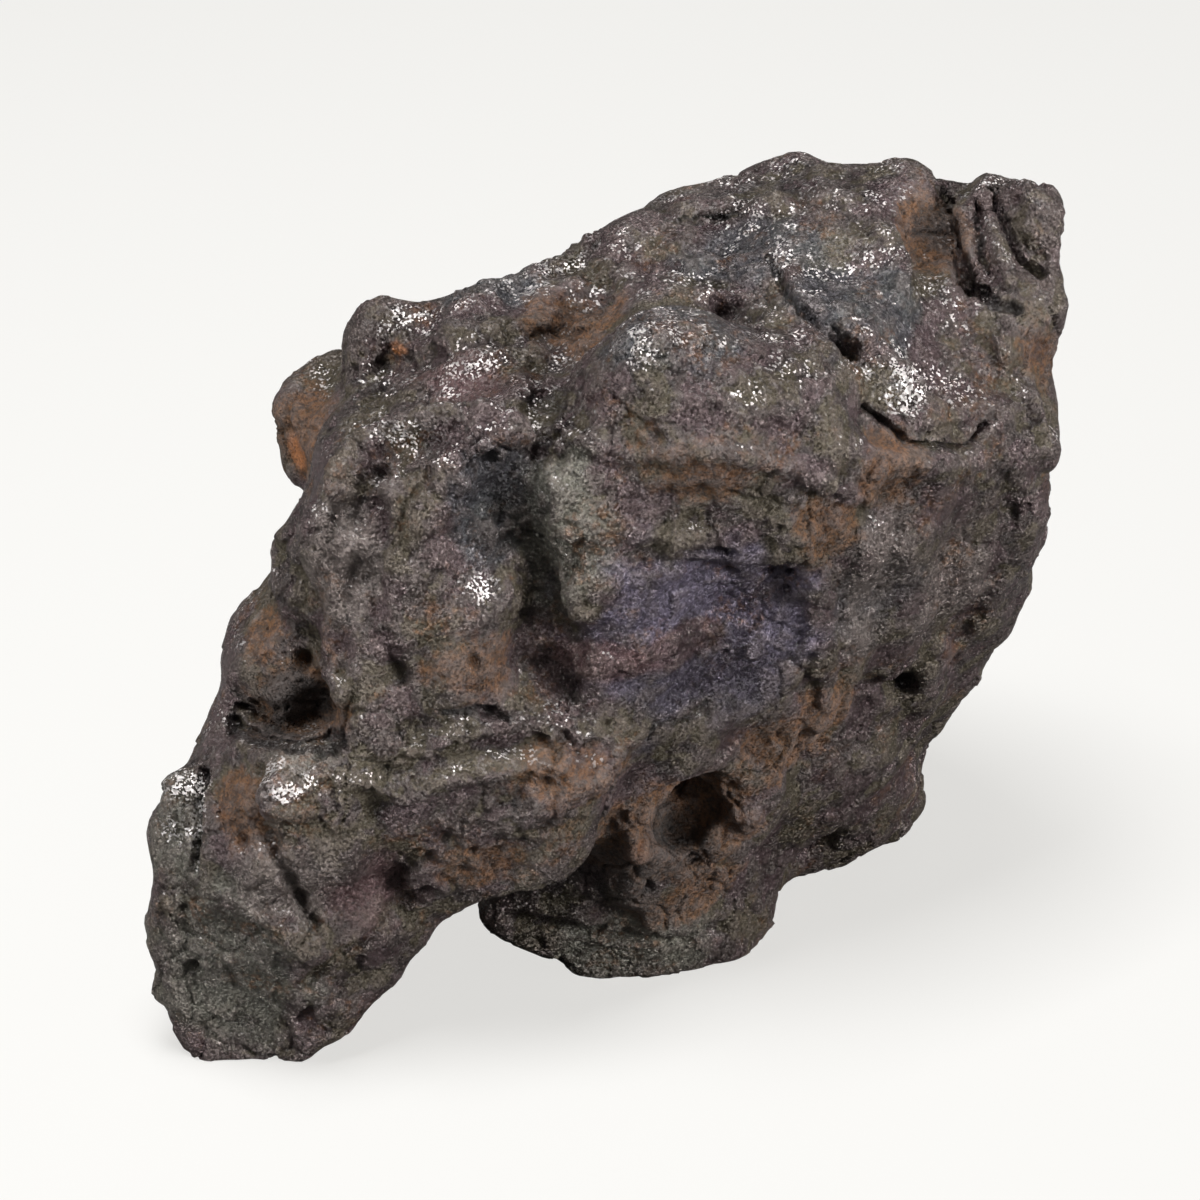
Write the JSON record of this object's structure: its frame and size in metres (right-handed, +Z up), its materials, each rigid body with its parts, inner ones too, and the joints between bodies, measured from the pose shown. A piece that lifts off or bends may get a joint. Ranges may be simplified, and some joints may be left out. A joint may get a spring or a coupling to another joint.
{
  "type": "iron meteorite",
  "caption": "Irregular pitted lump of iron with flat-bottomed feet, a natural specimen that rests on a shelf or a table.",
  "frame": {"origin": "middle of the bounding box at the height of the ground, where the undersides of the feet rest", "axes": "+X along the long side from the low foot to the flaky crest, +Y away from the pitted front, +Z up"},
  "size_m": [0.0944, 0.0696, 0.0815],
  "materials": {
    "iron": "weathered dark brown crust with rust in the hollows and a broken oily gloss"
  },
  "bodies": {
    "root": {"meteorite": "iron"}
  },
  "joints": []
}
